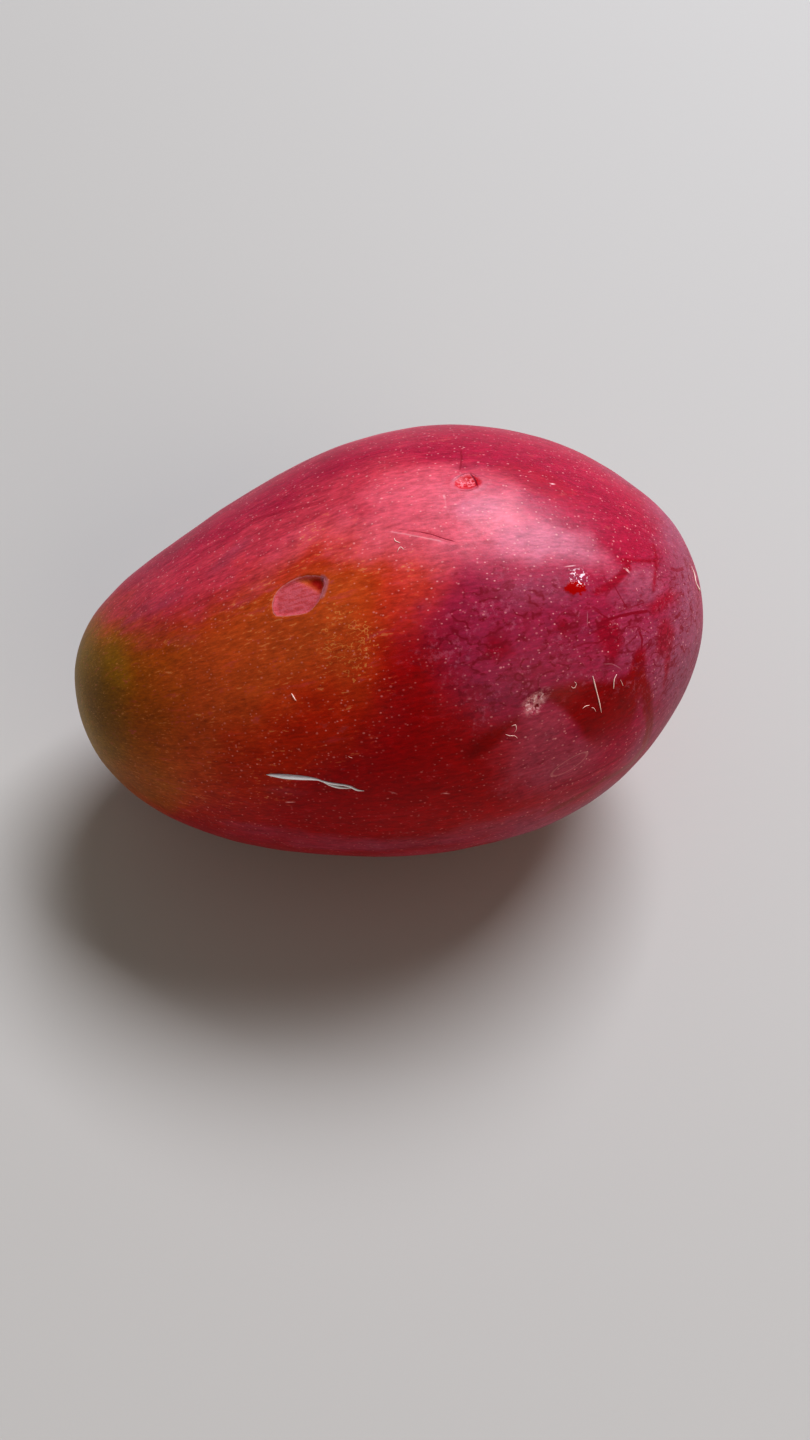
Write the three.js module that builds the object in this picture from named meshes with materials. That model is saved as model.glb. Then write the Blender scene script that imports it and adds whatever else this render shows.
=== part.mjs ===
// A mango, as picked, lying on its flatter cheek.
// Millimetres, +Z up. +X runs along the fruit from its narrow tip to its broad stem end.
// The origin lies on the ground, under the middle of the fruit's box.

import * as THREE from 'three';

// The body: a closed egg of revolution that is flattened, bent and tapered.
const fruitLength = 126;
const halfWidth = 42.9;
const heightOverWidth = 0.9;
const endRoundness = 0.876;
const taper = [-0.186, -0.122, 0.167];
const sidewaysBend = [-1.5, -2.7, -7.1, 0.7];

// How it lies: the tip dips, and the cheek under the fruit's weight is pressed flat.
const tipDip = 7.6;
const middleHeight = 37.8;

// The hollow at the stem end, with the corky scar of the stalk in it.
const stemHollow = { along: 171.5, round: 318, radius: 6.5, depth: 1.9 };
const stemScar = { radius: 3.1, height: 1.2, edge: 1.5, pitRadius: 1.6, pitDepth: 0.6 };

// The small dent left by the flower at the tip.
const tipDent = { radius: 3.2, depth: 0.5 };

// Marks on the cheek. Along and round are the angles of the mark's middle, in degrees.
// Length runs towards the stem end before the mark is turned, and width runs round the fruit.
const nick = { along: 79, round: 106.4, length: 9.8, width: 6.2, turn: 12, floor: 0.45, depth: 1.9 };
const scab = { along: 108.2, round: 85.8, length: 4.2, width: 2.8, turn: 20, depth: 0.55 };
const scuff = { along: 113.5, round: 145, length: 7.5, width: 4.5, turn: 25, depth: 0.7 };

// The grid of the skin, drawn closer over the nick and at the stem end.
const rings = 60;
const spokes = 76;
const ringFocus = [
  { at: nick.along, spread: 7, gain: 2.2 },
  { at: scab.along, spread: 5, gain: 0.8 },
  { at: stemHollow.along, spread: 7, gain: 3.2 },
];
const spokeFocus = [
  { at: nick.round, spread: 9, gain: 4.5 },
  { at: scuff.round, spread: 9, gain: 1 },
];

const degree = Math.PI / 180;

// A smooth step from 0 at low to 1 at high; it falls instead where low is above high.
function smoothStep(low, high, value) {
  const share = Math.min(Math.max((value - low) / (high - low), 0), 1);
  return share * share * (3 - 2 * share);
}

// A place on the smooth body. The angle along runs from 0 at the tip to PI at the stem end,
// and the angle round starts at the far side, with a quarter turn at the top.
function bodyPoint(along, round) {
  const c = Math.cos(along);
  const s = Math.max(Math.sin(along), 0);
  const swelling = 1 + taper[0] * c + taper[1] * c ** 2 + taper[2] * c ** 3;
  const girth = halfWidth * s ** endRoundness * swelling;
  const bend = sidewaysBend.reduce((sum, amount, power) => sum + amount * c ** power, 0);
  return new THREE.Vector3(
    -0.5 * fruitLength * c,
    bend * s ** 2 + girth * Math.cos(round),
    heightOverWidth * girth * Math.sin(round),
  );
}

// The outward direction of the smooth body, from two short steps along its surface.
function bodyNormal(along, round) {
  const step = 0.01;
  const inner = Math.min(Math.max(along, 2 * step), Math.PI - 2 * step);
  const lengthwise = bodyPoint(inner + step, round).sub(bodyPoint(inner - step, round));
  const sideways = bodyPoint(inner, round + step).sub(bodyPoint(inner, round - step));
  return lengthwise.cross(sideways).normalize().negate();
}

// How far a place lies from a mark's middle: distances in millimetres along and across the mark,
// after the mark's own turn.
function offsetFromMark(mark, along, round) {
  const middle = bodyPoint(mark.along * degree, mark.round * degree);
  const ahead = bodyPoint(mark.along * degree + 0.01, mark.round * degree).sub(middle).normalize();
  const outward = bodyNormal(mark.along * degree, mark.round * degree);
  const across = outward.clone().cross(ahead);
  const away = bodyPoint(along, round).sub(middle);
  const turn = mark.turn * degree;
  const forward = away.dot(ahead);
  const sideways = away.dot(across);
  return {
    forward: forward * Math.cos(turn) + sideways * Math.sin(turn),
    sideways: sideways * Math.cos(turn) - forward * Math.sin(turn),
    isNear: away.dot(outward) > -6,
  };
}

// How deep into a rounded mark a place is: 1 well inside, 0 outside, soft between the two shares.
function insideMark(mark, offset, innerShare, outerShare) {
  const reach = Math.hypot(2 * offset.forward / mark.length, 2 * offset.sideways / mark.width);
  return offset.isNear ? smoothStep(outerShare, innerShare, reach) : 0;
}

// The nick: a scoop with a shallow floor that falls into a pocket towards its upper right end.
function nickDepth(along, round) {
  const offset = offsetFromMark(nick, along, round);
  const fall = smoothStep(-0.5, 3.2, offset.forward + 0.7 * offset.sideways);
  return insideMark(nick, offset, 0.6, 1.15) * (nick.floor + (nick.depth - nick.floor) * fall);
}

// The scab is a small crater with a low rim.
function scabDepth(along, round) {
  const offset = offsetFromMark(scab, along, round);
  const pit = insideMark(scab, offset, 0.4, 1.1);
  const rim = insideMark(scab, offset, 0.9, 1.7) - pit;
  return scab.depth * pit - 0.25 * rim;
}

// The scuff is a shallow dent.
function scuffDepth(along, round) {
  return scuff.depth * insideMark(scuff, offsetFromMark(scuff, along, round), 0.1, 1.2);
}

// The stem end: a round hollow, and in its middle a raised scar with a pit.
function stemDepth(along, round) {
  const middle = bodyPoint(stemHollow.along * degree, stemHollow.round * degree);
  const radius = bodyPoint(along, round).distanceTo(middle);
  const hollow = stemHollow.depth * Math.exp(-((radius / stemHollow.radius) ** 2));
  const scar = stemScar.height * smoothStep(stemScar.radius, stemScar.radius - stemScar.edge, radius);
  const pit = stemScar.pitDepth * smoothStep(stemScar.pitRadius, 0, radius);
  return hollow - scar + pit;
}

// The tip's dent.
function tipDepth(along, round) {
  const radius = bodyPoint(along, round).distanceTo(bodyPoint(0, 0));
  return tipDent.depth * Math.exp(-((radius / tipDent.radius) ** 2));
}

// A place on the skin: the body with its hollows and marks, then laid down and pressed flat below.
function skinPoint(along, round) {
  const marks = nickDepth(along, round) + scabDepth(along, round) + scuffDepth(along, round);
  const depth = marks + stemDepth(along, round) + tipDepth(along, round);
  const place = bodyPoint(along, round).addScaledVector(bodyNormal(along, round), -depth);
  place.applyAxisAngle(new THREE.Vector3(0, 1, 0), -tipDip * degree);
  place.z = Math.max(place.z + middleHeight, 0);
  return place;
}

// Angles from start to start + span, closer together where a focus has its gain.
function spreadAngles(count, start, span, focuses) {
  const samples = 4000;
  const total = [0];
  for (let sample = 0; sample < samples; sample += 1) {
    const angle = start + (sample + 0.5) / samples * span;
    const extra = focuses.reduce(
      (sum, focus) => sum + focus.gain * Math.exp(-(((angle - focus.at) / focus.spread) ** 2)),
      0,
    );
    total.push(total[sample] + 1 + extra);
  }
  const angles = [];
  let sample = 0;
  for (let index = 0; index <= count; index += 1) {
    const goal = index / count * total[samples];
    while (sample < samples - 1 && total[sample + 1] < goal) sample += 1;
    const share = (goal - total[sample]) / (total[sample + 1] - total[sample]);
    angles.push((start + (sample + share) / samples * span) * degree);
  }
  return angles;
}

// The closed skin: one point at each end, and rings of points between them.
function buildSkin() {
  const alongAngles = spreadAngles(rings, 0, 180, ringFocus);
  const roundAngles = spreadAngles(spokes, -90, 360, spokeFocus);
  const places = [skinPoint(0, 0)];
  for (let ring = 1; ring < rings; ring += 1) {
    for (let spoke = 0; spoke < spokes; spoke += 1) {
      places.push(skinPoint(alongAngles[ring], roundAngles[spoke]));
    }
  }
  places.push(skinPoint(Math.PI, 0));

  const stemEnd = places.length - 1;
  const numberOf = (ring, spoke) => 1 + (ring - 1) * spokes + spoke % spokes;
  const faces = [];
  for (let spoke = 0; spoke < spokes; spoke += 1) {
    faces.push(0, numberOf(1, spoke + 1), numberOf(1, spoke));
    faces.push(stemEnd, numberOf(rings - 1, spoke), numberOf(rings - 1, spoke + 1));
    for (let ring = 1; ring < rings - 1; ring += 1) {
      const near = numberOf(ring, spoke);
      const nearNext = numberOf(ring, spoke + 1);
      const far = numberOf(ring + 1, spoke);
      const farNext = numberOf(ring + 1, spoke + 1);
      faces.push(near, nearNext, far);
      faces.push(nearNext, farNext, far);
    }
  }

  const skin = new THREE.BufferGeometry().setFromPoints(places);
  skin.setIndex(faces);
  skin.computeBoundingBox();
  const middle = skin.boundingBox.getCenter(new THREE.Vector3());
  skin.translate(-middle.x, -middle.y, 0);
  skin.computeVertexNormals();
  return skin;
}

// Crimson skin with a waxy shine.
const skinMaterial = new THREE.MeshStandardMaterial({ color: 0xa5283c, roughness: 0.4, metalness: 0 });

const mango = new THREE.Mesh(buildSkin(), skinMaterial);
mango.name = 'mango';

const fruit = new THREE.Group();
fruit.add(mango);

export default fruit;
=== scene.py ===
import math

import bpy
import numpy as np
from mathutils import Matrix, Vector


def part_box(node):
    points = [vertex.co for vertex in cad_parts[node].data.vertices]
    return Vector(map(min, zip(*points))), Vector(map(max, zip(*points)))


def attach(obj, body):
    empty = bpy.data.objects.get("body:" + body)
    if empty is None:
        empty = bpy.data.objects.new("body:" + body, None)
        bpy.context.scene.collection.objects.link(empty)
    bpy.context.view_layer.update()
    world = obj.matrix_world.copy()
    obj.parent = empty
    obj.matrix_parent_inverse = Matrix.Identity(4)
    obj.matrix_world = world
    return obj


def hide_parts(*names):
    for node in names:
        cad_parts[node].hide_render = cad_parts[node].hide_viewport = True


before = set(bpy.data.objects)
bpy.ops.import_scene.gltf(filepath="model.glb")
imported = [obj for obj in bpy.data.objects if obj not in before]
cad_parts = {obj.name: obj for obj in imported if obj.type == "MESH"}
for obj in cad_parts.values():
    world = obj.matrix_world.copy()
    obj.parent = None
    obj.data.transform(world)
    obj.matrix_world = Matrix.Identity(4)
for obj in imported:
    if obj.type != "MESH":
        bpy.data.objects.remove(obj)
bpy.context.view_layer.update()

millimetre = 0.001


# share of the way from low to high, eased: t * t * (3 - 2 * t)
def smoothStep(low, high, value):
    t = np.clip((value - low) / (high - low), 0.0, 1.0)
    return t * t * (3.0 - 2.0 * t)


# sRGB hex to linear: c / 12.92 below 0.04045, else ((c + 0.055) / 1.055) ^ 2.4
def linearColour(hexCode):
    parts = [int(hexCode[i:i + 2], 16) / 255 for i in (1, 3, 5)]
    return [c / 12.92 if c <= 0.04045 else ((c + 0.055) / 1.055) ** 2.4 for c in parts] + [1.0]


# camera first: where it stands, how far it looks down and to the right, and its lens
view = {
    "place": (-0.0123, -0.1304, 0.2121),
    "lookDown": 57.0,
    "lookRight": 7.04,
    "lens": 27.0,       # millimetres on a 36 mm wide film, as on a phone
    "film": 36.0,
    "width": 810,
    "height": 1440,
    "pixelsPerMillimetre": 5.4,     # on the fruit
}


def makeCamera():
    data = bpy.data.cameras.new("camera")
    data.lens = view["lens"]
    data.sensor_width = view["film"]
    data.clip_start = 0.01
    camera = bpy.data.objects.new("camera", data)
    camera.location = view["place"]
    camera.rotation_euler = (math.radians(90 - view["lookDown"]), 0, math.radians(-view["lookRight"]))
    bpy.context.collection.objects.link(camera)
    bpy.context.scene.camera = camera
    return camera


camera = makeCamera()
print("camera ready")

# the fruit: the same driving sizes as the solid's
fruit = {
    "length": 0.126,
    "halfWidth": 0.0429,
    "heightOverWidth": 0.9,
    "endRoundness": 0.876,
    "taper": (-0.186, -0.122, 0.167),
    "sidewaysBend": (-0.0015, -0.0027, -0.0071, 0.0007),
    "tipDip": math.radians(7.6),
    "middleHeight": 0.0378,
    "rings": 268,
    "spokes": 362,
    "ringFocus": ((79, 6, 1.0), (112, 14, 0.4), (171.5, 5, 1.2)),      # at, spread, gain
    "spokeFocus": ((125, 58, 1.6), (106, 7, 1.2)),
}

# the drum that flat distances and long patterns are laid on: metres for each radian along and round, and
# the girth at which it narrows
drum = {"along": 0.063, "round": 0.041, "narrow": 0.020}


# angles at which the running sum of 1 + gain * exp(-((angle - at) / spread)^2) has grown by equal steps
def spreadAngles(count, start, span, focuses):
    fine = np.linspace(start, start + span, 4001)
    density = np.ones_like(fine)
    for at, spread, gain in focuses:
        density += gain * np.exp(-((fine - at) / spread) ** 2)
    total = np.concatenate([[0.0], np.cumsum(0.5 * (density[1:] + density[:-1]))])
    return np.radians(np.interp(np.linspace(0, total[-1], count + 1), total, fine))


# half width at an angle along the fruit: w * sin^n * (1 + a cos + b cos^2 + c cos^3)
def girthAt(along):
    c = np.cos(along)
    a1, a2, a3 = fruit["taper"]
    swelling = 1 + a1 * c + a2 * c ** 2 + a3 * c ** 3
    return fruit["halfWidth"] * np.clip(np.sin(along), 0, 1) ** fruit["endRoundness"] * swelling


# x = -L/2 cos(along); y = bend(cos) sin^2 + girth cos(round); z = h girth sin(round)
def bodyPoint(along, around):
    c = np.cos(along)
    s = np.clip(np.sin(along), 0, 1)
    girth = girthAt(along)
    bend = sum(amount * c ** power for power, amount in enumerate(fruit["sidewaysBend"]))
    x = -0.5 * fruit["length"] * c + 0 * around
    y = bend * s ** 2 + girth * np.cos(around)
    z = fruit["heightOverWidth"] * girth * np.sin(around)
    return np.stack([x, y, z], axis=-1)


# outward direction: cross product of two short steps along the surface
def bodyNormal(along, around):
    step = 0.01
    inner = np.clip(along, 2 * step, math.pi - 2 * step)
    lengthwise = bodyPoint(inner + step, around) - bodyPoint(inner - step, around)
    sideways = bodyPoint(inner, around + step) - bodyPoint(inner, around - step)
    normal = np.cross(sideways, lengthwise)
    return normal / np.linalg.norm(normal, axis=-1, keepdims=True)


# turned about Y until the tip dips, lifted, then pressed flat at the ground
def layDown(points):
    s, c = math.sin(fruit["tipDip"]), math.cos(fruit["tipDip"])
    x = c * points[..., 0] - s * points[..., 2]
    z = s * points[..., 0] + c * points[..., 2] + fruit["middleHeight"]
    return np.stack([x, points[..., 1], np.maximum(z, 0)], axis=-1)


# sum of sines in random directions, with wavelengths near size, scaled to about -1..1
def waves(points, size, seed, count=24):
    draw = np.random.default_rng(seed)
    directions = draw.normal(size=(count, 3))
    directions /= np.linalg.norm(directions, axis=1, keepdims=True)
    lengths = size * draw.uniform(0.7, 1.6, count)
    shifts = draw.uniform(0, 2 * math.pi, count)
    total = np.zeros(points.shape[:-1])
    for direction, length, shift in zip(directions, lengths, shifts):
        total += np.sin(points @ direction * (2 * math.pi / length) + shift)
    return total / math.sqrt(count)


# unit outward directions of a grid of points, closed round its second side
def gridNormals(points):
    lengthwise = np.gradient(points, axis=0)
    sideways = np.roll(points, -1, axis=1) - np.roll(points, 1, axis=1)
    normal = np.cross(sideways, lengthwise)
    return normal / (np.linalg.norm(normal, axis=-1, keepdims=True) + 1e-12)


alongAngles = spreadAngles(fruit["rings"], 0, 180, fruit["ringFocus"])[1:-1, None]
aroundAngles = spreadAngles(fruit["spokes"], -90, 360, fruit["spokeFocus"])[None, :-1]
smoothBody = bodyPoint(alongAngles, aroundAngles)
girthGrid = girthAt(alongAngles)

# the solid stands with its box's middle over the origin, and so does this skin
lowCorner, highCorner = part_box("mango")
laidBody = layDown(smoothBody)
boxMiddle = 0.5 * (laidBody.min((0, 1)) + laidBody.max((0, 1)))
placeShift = np.array([
    0.5 * (lowCorner[0] + highCorner[0]) - boxMiddle[0],
    0.5 * (lowCorner[1] + highCorner[1]) - boxMiddle[1],
    0.0,
])


# where points stand in the photo: focal length times sideways and upward parts over depth
def photoPlace(points):
    toEye = np.array(camera.rotation_euler.to_matrix())
    right, up, forward = toEye[:, 0], toEye[:, 1], -toEye[:, 2]
    away = points - np.array(view["place"])
    focal = view["lens"] / view["film"] * view["height"]
    depth = away @ forward
    x = 0.5 * view["width"] + focal * (away @ right) / depth
    y = 0.5 * view["height"] - focal * (away @ up) / depth
    return x, y


photoX, photoY = photoPlace(laidBody + placeShift)
towardsEye = np.array(view["place"]) - (laidBody + placeShift)
facesEye = (gridNormals(laidBody) * towardsEye).sum(-1) > 0


# the grid place seen at a pixel of the photo, as its two angles, moved by part steps to the pixel
def spotAt(x, y):
    distance = (photoX - x) ** 2 + (photoY - y) ** 2 + np.where(facesEye, 0, 1e9)
    ring, spoke = np.unravel_index(distance.argmin(), distance.shape)
    along, around = float(alongAngles[ring, 0]), float(aroundAngles[0, spoke])
    step, longest, flattest = 0.002, 0.02, 1e2
    for _ in range(3):
        angles = ((along, around), (along + step, around), (along, around + step))
        here, further, beside = (
            np.array(photoPlace(layDown(bodyPoint(*pair)) + placeShift)) for pair in angles)
        slope = np.stack([further - here, beside - here], axis=1) / step
        if abs(np.linalg.det(slope)) < flattest:
            break
        move = np.clip(np.linalg.solve(slope, np.array([x, y]) - here), -longest, longest)
        along, around = along + float(move[0]), around + float(move[1])
    return along, around


# the skin unrolled about a spot: metres towards the stem end, and metres round towards the near side
def unrolled(spot, along, around):
    step = 0.01
    stretch = bodyPoint(spot[0] + step, spot[1]) - bodyPoint(spot[0] - step, spot[1])
    lengthwise = np.linalg.norm(stretch) / (2 * step)
    turned = (around - spot[1] + math.pi) % (2 * math.pi) - math.pi
    return (along - spot[0]) * lengthwise, turned * girthAt(along)


# distance to an open line of points: the least of those to its straight parts
def lineDistance(x, y, points):
    nearest = np.full(np.broadcast(x, y).shape, 1e9)
    for (x0, y0), (x1, y1) in zip(points[:-1], points[1:]):
        dx, dy = x1 - x0, y1 - y0
        t = np.clip(((x - x0) * dx + (y - y0) * dy) / (dx * dx + dy * dy), 0, 1)
        nearest = np.minimum(nearest, np.hypot(x - x0 - t * dx, y - y0 - t * dy))
    return nearest


# distance to a closed outline, negative inside, where a level line crosses it an odd number of times
def outlineDistance(x, y, corners):
    closed = corners + corners[:1]
    inside = np.zeros(np.broadcast(x, y).shape, dtype=bool)
    for (x0, y0), (x1, y1) in zip(closed[:-1], closed[1:]):
        inside ^= ((y0 > y) != (y1 > y)) & (x < (x1 - x0) * (y - y0) / (y1 - y0 + 1e-15) + x0)
    return np.where(inside, -1, 1) * lineDistance(x, y, closed)


# the marks that are sunk into the skin, by their places in the photo
nick = {
    "corners": [(273, 612), (272, 605), (273.5, 597), (277, 591), (282, 586), (290, 581), (297, 577.5),
                (306, 575.5), (316, 575.5), (323, 577), (325, 582), (322.5, 588), (321, 594), (318, 601),
                (313, 607), (308, 612), (298, 614), (286, 615.5), (276, 615.5)],
    "pocket": [(295, 579), (304, 577), (316, 576.5), (322.5, 578), (322.5, 586), (319, 592.5),
               (312, 587.5), (304, 583.5)],
    "deepest": [(315, 580), (319.5, 581), (320, 586)],
    "lilacLine": [(322, 576.5), (326, 581), (324.5, 588), (321.5, 596)],
    "floorDepth": 0.35,     # millimetres, as all depths here
    "pocketDepth": 0.25,
    "wall": 0.3,
    "rimHeight": 0.10,
    "rimWidth": 0.35,
}
scab = {"middle": (467, 481), "length": 2.3, "width": 1.65, "turn": -10, "depth": 0.45, "rim": 0.12}
scuff = {"middle": (537, 703), "length": 2.9, "width": 2.0, "turn": -32, "depth": 0.5}
scuffPit = {"middle": (538.5, 707), "length": 0.62, "width": 0.5, "turn": -60, "depth": 0.2}
wet = {"middle": (576, 587), "length": 1.9, "width": 1.3, "turn": 0, "depth": -0.12}
glints = {"middle": (579, 577), "length": 1.9, "width": 1.7, "turn": 20}
russet = {"middle": (346, 640), "length": 4.2, "width": 5.2, "turn": 0}
ring = {"middle": (570.5, 765.5), "length": 3.7, "width": 1.4, "turn": -15}
crease = {"points": [(384, 527), (400, 529.5), (425, 534), (450, 541)], "width": 0.5, "depth": 0.09}
scabCrease = {"points": [(461, 450), (461, 460), (460, 470)], "width": 0.4, "depth": 0.09}
stemHollow = {"along": 171.5, "round": 318, "radius": 6.5, "depth": 1.9}
stemScar = {"radius": 3.1, "height": 1.2, "edge": 1.0, "pitRadius": 1.6, "pitDepth": 0.6}
tipDent = {"radius": 3.2, "depth": 0.5}


# 0 at a patch's middle and 1 at its edge: sqrt((x / length)^2 + (y / width)^2), turned in its own plane
def patchReach(spot, length, width, turn):
    ahead, across = unrolled(spot, alongAngles, aroundAngles)
    s, c = math.sin(math.radians(turn)), math.cos(math.radians(turn))
    x = (ahead * c + across * s) / (length * millimetre)
    y = (across * c - ahead * s) / (width * millimetre)
    return np.hypot(x, y)


# places of the photo as unrolled points about a spot, in metres
def unrolledPoints(spot, places):
    return [tuple(float(v) for v in unrolled(spot, *spotAt(*place))) for place in places]


# distance in millimetres to a line or an outline drawn through places of the photo
def distanceToPlaces(measure, places):
    spot = spotAt(*places[len(places) // 2])
    ahead, across = unrolled(spot, alongAngles, aroundAngles)
    return measure(ahead, across, unrolledPoints(spot, places)) / millimetre


# each mark's own measure, and its depth in millimetres: step or bell of the measure, times its depth
def markFields():
    fields = {}
    edge = distanceToPlaces(outlineDistance, nick["corners"])
    pocket = smoothStep(0.7, -1.0, distanceToPlaces(outlineDistance, nick["pocket"]))
    fields["nickEdge"] = edge
    fields["nickPocket"] = pocket
    fields["nickDeepPaintedShade"] = distanceToPlaces(lineDistance, nick["deepest"])
    fields["nickLilac"] = distanceToPlaces(lineDistance, nick["lilacLine"])
    sunk = smoothStep(0.5 * nick["wall"], -nick["wall"], edge)
    rim = nick["rimHeight"] * np.exp(-((edge - nick["rimWidth"]) / nick["rimWidth"]) ** 2)
    fields["nickDepth"] = sunk * (nick["floorDepth"] + pocket * nick["pocketDepth"]) - rim
    for name, mark in (("scab", scab), ("scuff", scuff), ("scuffPit", scuffPit), ("wet", wet),
                       ("glints", glints), ("russet", russet), ("ring", ring)):
        reach = patchReach(spotAt(*mark["middle"]), mark["length"], mark["width"], mark["turn"])
        fields[name] = reach
        if "depth" in mark:
            fields[name + "Depth"] = smoothStep(1.15, 0.35, reach) * mark["depth"]
    fields["scabDepth"] -= scab["rim"] * np.exp(-((fields["scab"] - 1.2) / 0.25) ** 2)
    for name, mark in (("crease", crease), ("scabCrease", scabCrease)):
        distance = distanceToPlaces(lineDistance, mark["points"])
        fields[name + "Depth"] = np.exp(-(distance / mark["width"]) ** 2) * mark["depth"]
    stemSpot = bodyPoint(math.radians(stemHollow["along"]), math.radians(stemHollow["round"]))
    stemRadius = np.linalg.norm(smoothBody - stemSpot, axis=-1) / millimetre
    tipRadius = np.linalg.norm(smoothBody - bodyPoint(0.0, 0.0), axis=-1) / millimetre
    fields["stemRadius"] = stemRadius
    fields["tipRadius"] = tipRadius
    hollow = stemHollow["depth"] * np.exp(-(stemRadius / stemHollow["radius"]) ** 2)
    scarTop = stemScar["radius"] - stemScar["edge"]
    scar = stemScar["height"] * smoothStep(stemScar["radius"], scarTop, stemRadius)
    pit = stemScar["pitDepth"] * smoothStep(stemScar["pitRadius"], 0.0, stemRadius)
    tip = tipDent["depth"] * np.exp(-(tipRadius / tipDent["radius"]) ** 2)
    fields["endDepth"] = hollow - scar + pit + tip
    return fields


fields = markFields()
print("marks placed")

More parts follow.
